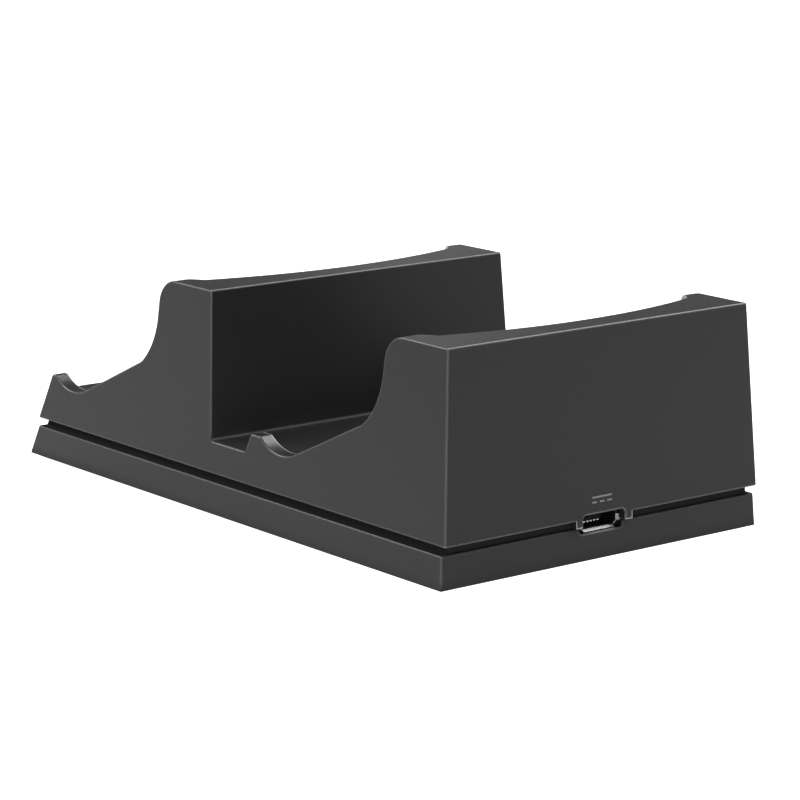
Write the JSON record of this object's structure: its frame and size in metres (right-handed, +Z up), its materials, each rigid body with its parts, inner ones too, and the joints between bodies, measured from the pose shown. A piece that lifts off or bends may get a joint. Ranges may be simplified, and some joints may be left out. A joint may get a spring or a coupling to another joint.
{
  "type": "controller charging dock",
  "caption": "Low desktop charging dock with cradles in a row for game controllers, scooped backrests, hooked cheeks, sprung charging contacts and a small power socket at the rear.",
  "frame": {"origin": "on the table, under the middle of the dock's footprint", "axes": "+Z up, +Y towards the rear wall with the power socket, cradles open towards -Y"},
  "size_m": [0.0612, 0.1085, 0.0351],
  "materials": {
    "housing_plastic": "fine moulded texture, satin",
    "base_plastic": "fine moulded texture, satin",
    "foot_rubber": "matte",
    "screw_steel": "black oxide",
    "board_laminate": "solder mask",
    "socket_steel": "bright plated",
    "socket_insulator": "moulded",
    "contact_gold": "gold plated",
    "carrier_plastic": "moulded",
    "spring_steel": "drawn wire",
    "light_lens": "clear diffused",
    "led_body": "clear moulding",
    "chip_plastic": "moulded",
    "coil_ferrite": "ferrite",
    "capacitor_can": "drawn can"
  },
  "bodies": {
    "dock": {"top_housing": "housing_plastic", "base_plate": "base_plastic", "foot_front_left": "foot_rubber", "foot_front_right": "foot_rubber", "foot_rear_left": "foot_rubber", "foot_rear_right": "foot_rubber", "base_screws": "screw_steel", "board_screws": "screw_steel", "main_board": "board_laminate", "usb_shell": "socket_steel", "usb_insulator": "socket_insulator", "usb_contacts": "contact_gold", "pin_barrel_front_left": "contact_gold", "pin_barrel_front_right": "contact_gold", "pin_barrel_rear_left": "contact_gold", "pin_barrel_rear_right": "contact_gold", "contact_carrier_front": "carrier_plastic", "contact_carrier_rear": "carrier_plastic", "pin_spring_front_left": "spring_steel", "pin_spring_front_right": "spring_steel", "pin_spring_rear_left": "spring_steel", "pin_spring_rear_right": "spring_steel", "light_pipe_front": "light_lens", "light_pipe_rear": "light_lens", "indicator_led_front": "led_body", "indicator_led_rear": "led_body", "charge_chip_front": "chip_plastic", "charge_chip_rear": "chip_plastic", "power_coil_front": "coil_ferrite", "power_coil_rear": "coil_ferrite", "filter_capacitors": "capacitor_can"},
    "contact_pin_front_left": {"pin_plunger_front_left": "contact_gold"},
    "contact_pin_front_right": {"pin_plunger_front_right": "contact_gold"},
    "contact_pin_rear_left": {"pin_plunger_rear_left": "contact_gold"},
    "contact_pin_rear_right": {"pin_plunger_rear_right": "contact_gold"}
  },
  "joints": [
    {"name": "pin_travel_front_left", "type": "slide", "parent": "dock", "child": "contact_pin_front_left", "axis": [0, 0, 1], "range_m": [-0.0012, 0], "stiffness_N_per_m": 500, "deforming": ["pin_spring_front_left"]},
    {"name": "pin_travel_front_right", "type": "slide", "parent": "dock", "child": "contact_pin_front_right", "axis": [0, 0, 1], "range_m": [-0.0012, 0], "stiffness_N_per_m": 500, "deforming": ["pin_spring_front_right"]},
    {"name": "pin_travel_rear_left", "type": "slide", "parent": "dock", "child": "contact_pin_rear_left", "axis": [0, 0, 1], "range_m": [-0.0012, 0], "stiffness_N_per_m": 500, "deforming": ["pin_spring_rear_left"]},
    {"name": "pin_travel_rear_right", "type": "slide", "parent": "dock", "child": "contact_pin_rear_right", "axis": [0, 0, 1], "range_m": [-0.0012, 0], "stiffness_N_per_m": 500, "deforming": ["pin_spring_rear_right"]}
  ]
}
